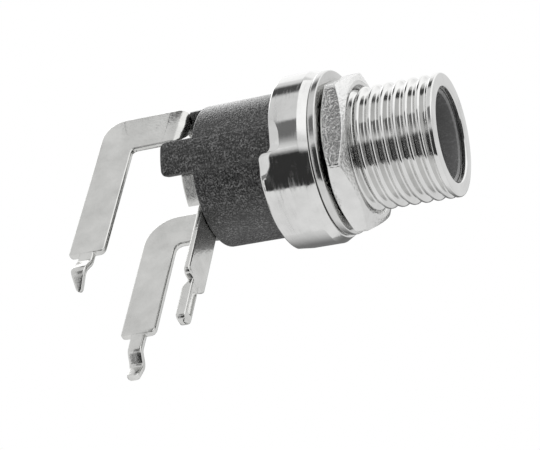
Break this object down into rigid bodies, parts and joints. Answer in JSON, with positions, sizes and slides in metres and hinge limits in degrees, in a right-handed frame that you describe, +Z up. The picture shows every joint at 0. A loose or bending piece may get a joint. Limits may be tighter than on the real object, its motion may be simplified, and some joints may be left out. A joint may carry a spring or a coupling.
{
  "type": "threaded panel power jack",
  "caption": "Coaxial power jack with a threaded panel bushing, a hexagon nut and washer, a moulded body with a centre pin, and flat legs that enter a circuit board.",
  "frame": {"origin": "centre of the face of the cup that the panel rests on, on the axis of the bushing", "axes": "+X along the axis, out of the mouth; +Z up, with the legs pointing down; -Y is the side of the shunt leg"},
  "size_m": [0.023, 0.0112, 0.0182],
  "materials": {
    "bright_nickel": "bright nickel plate on turned brass",
    "black_moulding": "fine spark texture, moulded",
    "matte_tin": "matte tin plate on stamped bronze strip",
    "washer_nickel": "nickel plate on a stamped steel ring",
    "nut_nickel": "nickel plate on brass hexagon bar"
  },
  "bodies": {
    "jack": {"threaded_bushing": "bright_nickel", "insulator_body": "black_moulding", "centre_pin": "bright_nickel", "shunt_contact": "matte_tin", "sleeve_contact": "matte_tin", "pin_terminal": "matte_tin"},
    "washer": {"flat_washer": "washer_nickel"},
    "nut": {"panel_nut": "nut_nickel"}
  },
  "joints": [
    {"name": "washer_slide", "type": "slide", "parent": "jack", "child": "washer", "axis": [1, 0, 0], "range_m": [0, 0.0045]},
    {"name": "nut_spin", "type": "hinge", "parent": "washer", "child": "nut", "pos_m": [0.0014, 0, 0], "axis": [1, 0, 0], "range_deg": [0, 2042]}
  ],
  "couplings": [
    {"joint": "nut_spin", "follows": "washer_slide", "rad_per_m": 7913.3}
  ]
}
